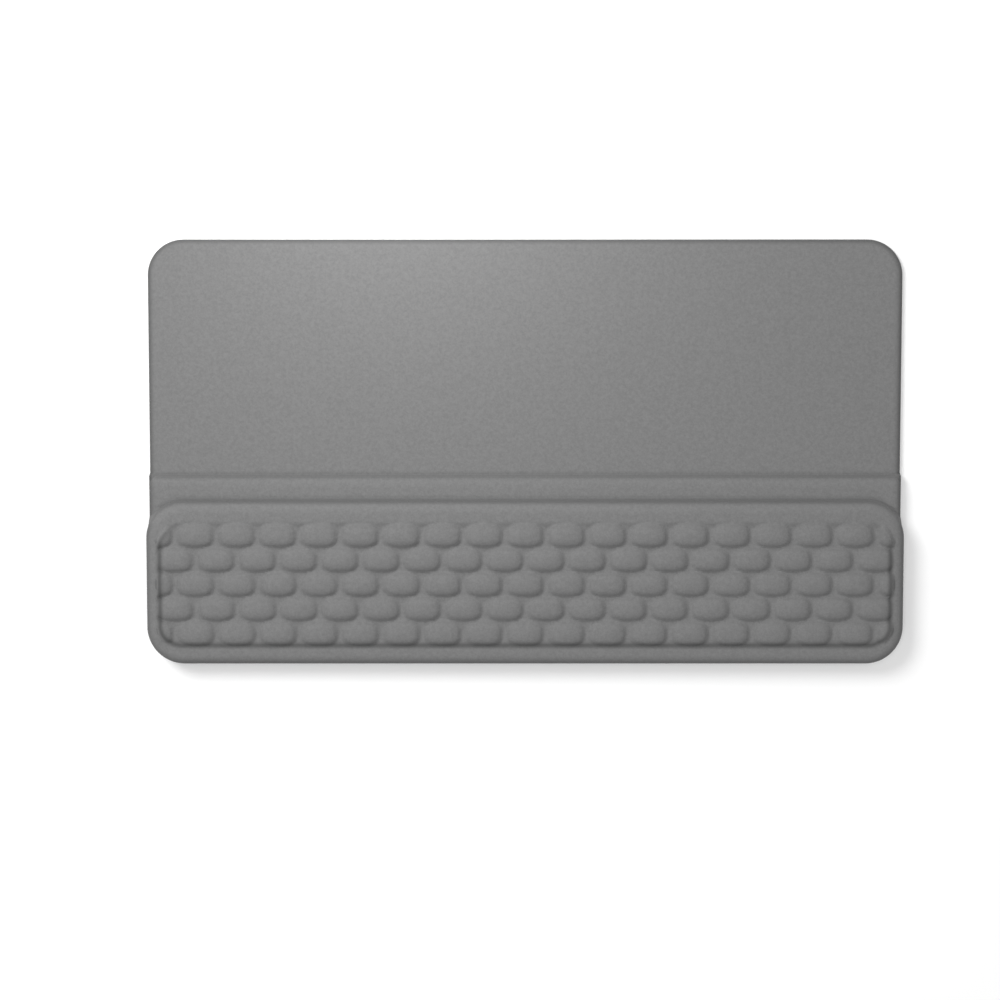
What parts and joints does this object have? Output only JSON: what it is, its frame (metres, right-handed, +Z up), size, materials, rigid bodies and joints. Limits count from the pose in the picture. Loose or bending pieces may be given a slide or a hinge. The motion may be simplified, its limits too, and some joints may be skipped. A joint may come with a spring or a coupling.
{
  "type": "keyboard wrist rest",
  "caption": "Flat keyboard mat with a raised foam wrist rest along its front edge, bumps on the rest and one fabric cover over it all.",
  "frame": {"origin": "on the desk, under the middle of the pad", "axes": "+X along the width, +Y away from the user towards the keyboard, +Z up off the desk"},
  "size_m": [0.445, 0.249, 0.021],
  "materials": {
    "cover_fabric": "matt grey brushed stretch knit",
    "wrist_foam": "matt cut polyurethane foam",
    "mat_foam": "matt dense foam sheet",
    "hot_melt": "milky film",
    "base_rubber": "matt textured rubber"
  },
  "bodies": {
    "root": {"fabric_cover": "cover_fabric", "wrist_foam": "wrist_foam", "stop_foam": "wrist_foam", "mat_foam": "mat_foam", "glue_sheet": "hot_melt", "grip_base": "base_rubber"}
  },
  "joints": []
}
